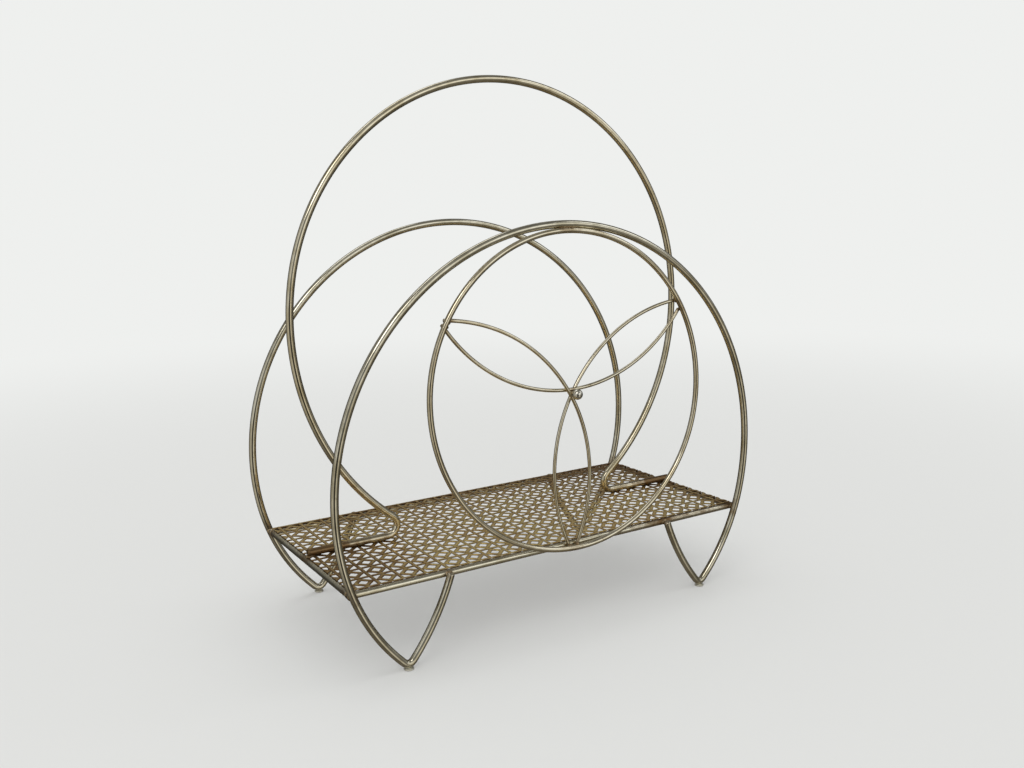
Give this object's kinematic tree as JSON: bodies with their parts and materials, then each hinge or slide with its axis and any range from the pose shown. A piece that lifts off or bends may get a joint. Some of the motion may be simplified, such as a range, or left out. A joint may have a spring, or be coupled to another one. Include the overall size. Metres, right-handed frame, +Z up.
{
  "type": "record storage stand",
  "caption": "Free-standing metal wire rack that holds records upright: two round end loops, a taller carrying handle between them, a perforated shelf and a petal flower in a ring.",
  "frame": {"origin": "middle of the stand's outer box, on the surface that its four glides stand on", "axes": "+X along the shelf to the right, +Y from the flower towards the rear loop, +Z up"},
  "size_m": [0.4, 0.1992, 0.4459],
  "materials": {
    "wire": "aged satin plating with fine scratches",
    "shelf_rod": "aged satin plating, browned near the welds",
    "perforated_sheet": "embossed, bronze-brown patina",
    "flower_wire": "aged satin plating",
    "bead": "polished",
    "glide": "dull"
  },
  "bodies": {
    "root": {"front_loop": "wire", "rear_loop": "wire", "handle_loop": "wire", "front_rod": "shelf_rod", "rear_rod": "shelf_rod", "left_rod": "shelf_rod", "right_rod": "shelf_rod", "shelf_sheet": "perforated_sheet", "flower_ring": "flower_wire", "petal_arc_upper": "flower_wire", "petal_arc_right": "flower_wire", "petal_arc_left": "flower_wire", "centre_bead": "bead", "front_left_glide": "glide", "front_right_glide": "glide", "rear_left_glide": "glide", "rear_right_glide": "glide"}
  },
  "joints": []
}
